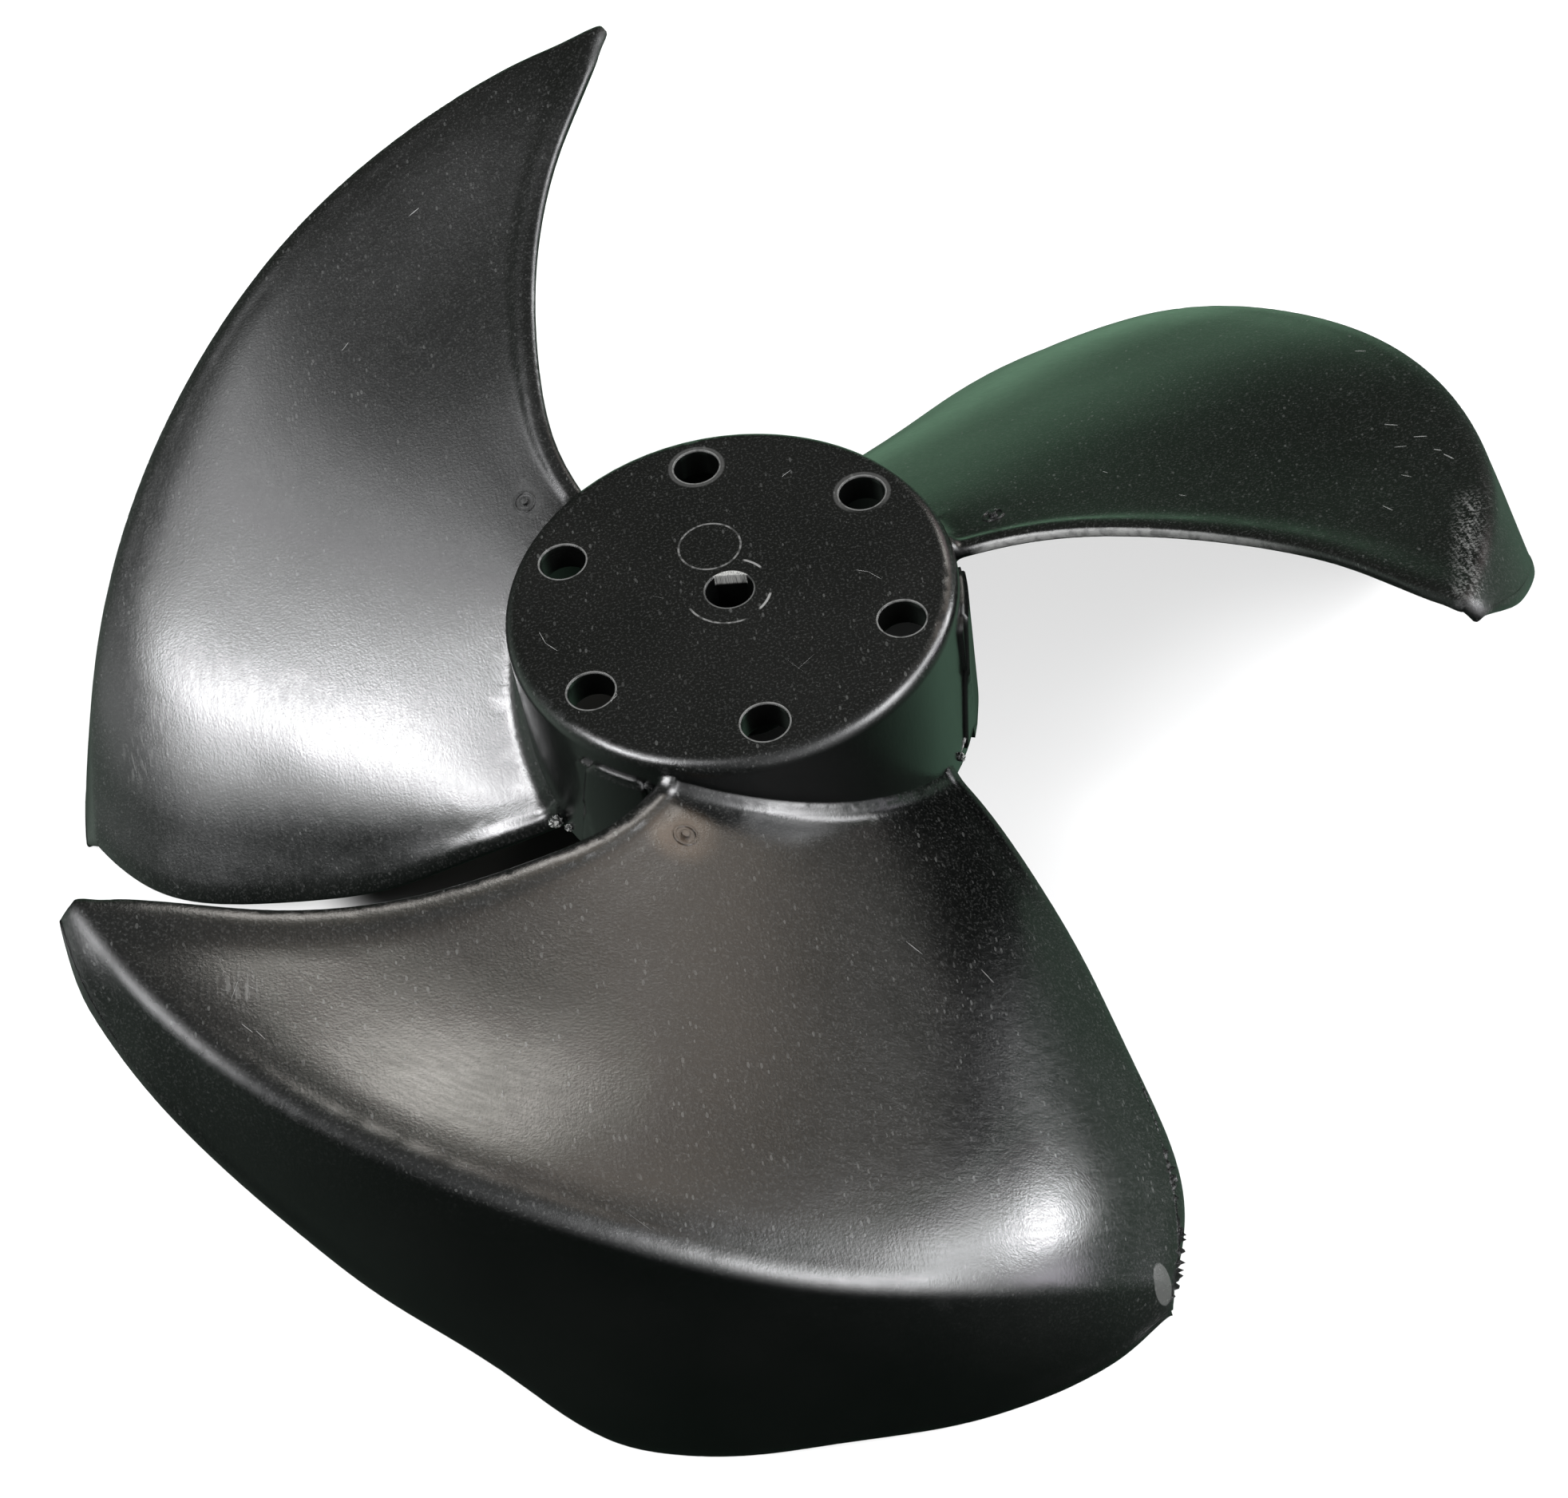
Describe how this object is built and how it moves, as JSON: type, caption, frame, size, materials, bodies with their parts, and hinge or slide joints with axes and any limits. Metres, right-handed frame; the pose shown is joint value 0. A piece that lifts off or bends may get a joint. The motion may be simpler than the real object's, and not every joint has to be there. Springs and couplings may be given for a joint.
{
  "type": "evaporative cooler fan blade",
  "caption": "One-piece moulded axial fan wheel with forward-swept blades, folded outer skirts and a cup hub with a D-shaped bore.",
  "frame": {"origin": "centre of the bore on the hub's top face", "axes": "+Z along the axis of rotation, out of the hub's top face; +X and +Y as in the plan view, with the wheel standing on the skirts of its blades"},
  "size_m": [0.396, 0.3985, 0.1297],
  "materials": {
    "fan_plastic": "black satin-gloss moulded plastic with a fine speckle and light scratches"
  },
  "bodies": {
    "root": {"fan": "fan_plastic"}
  },
  "joints": []
}
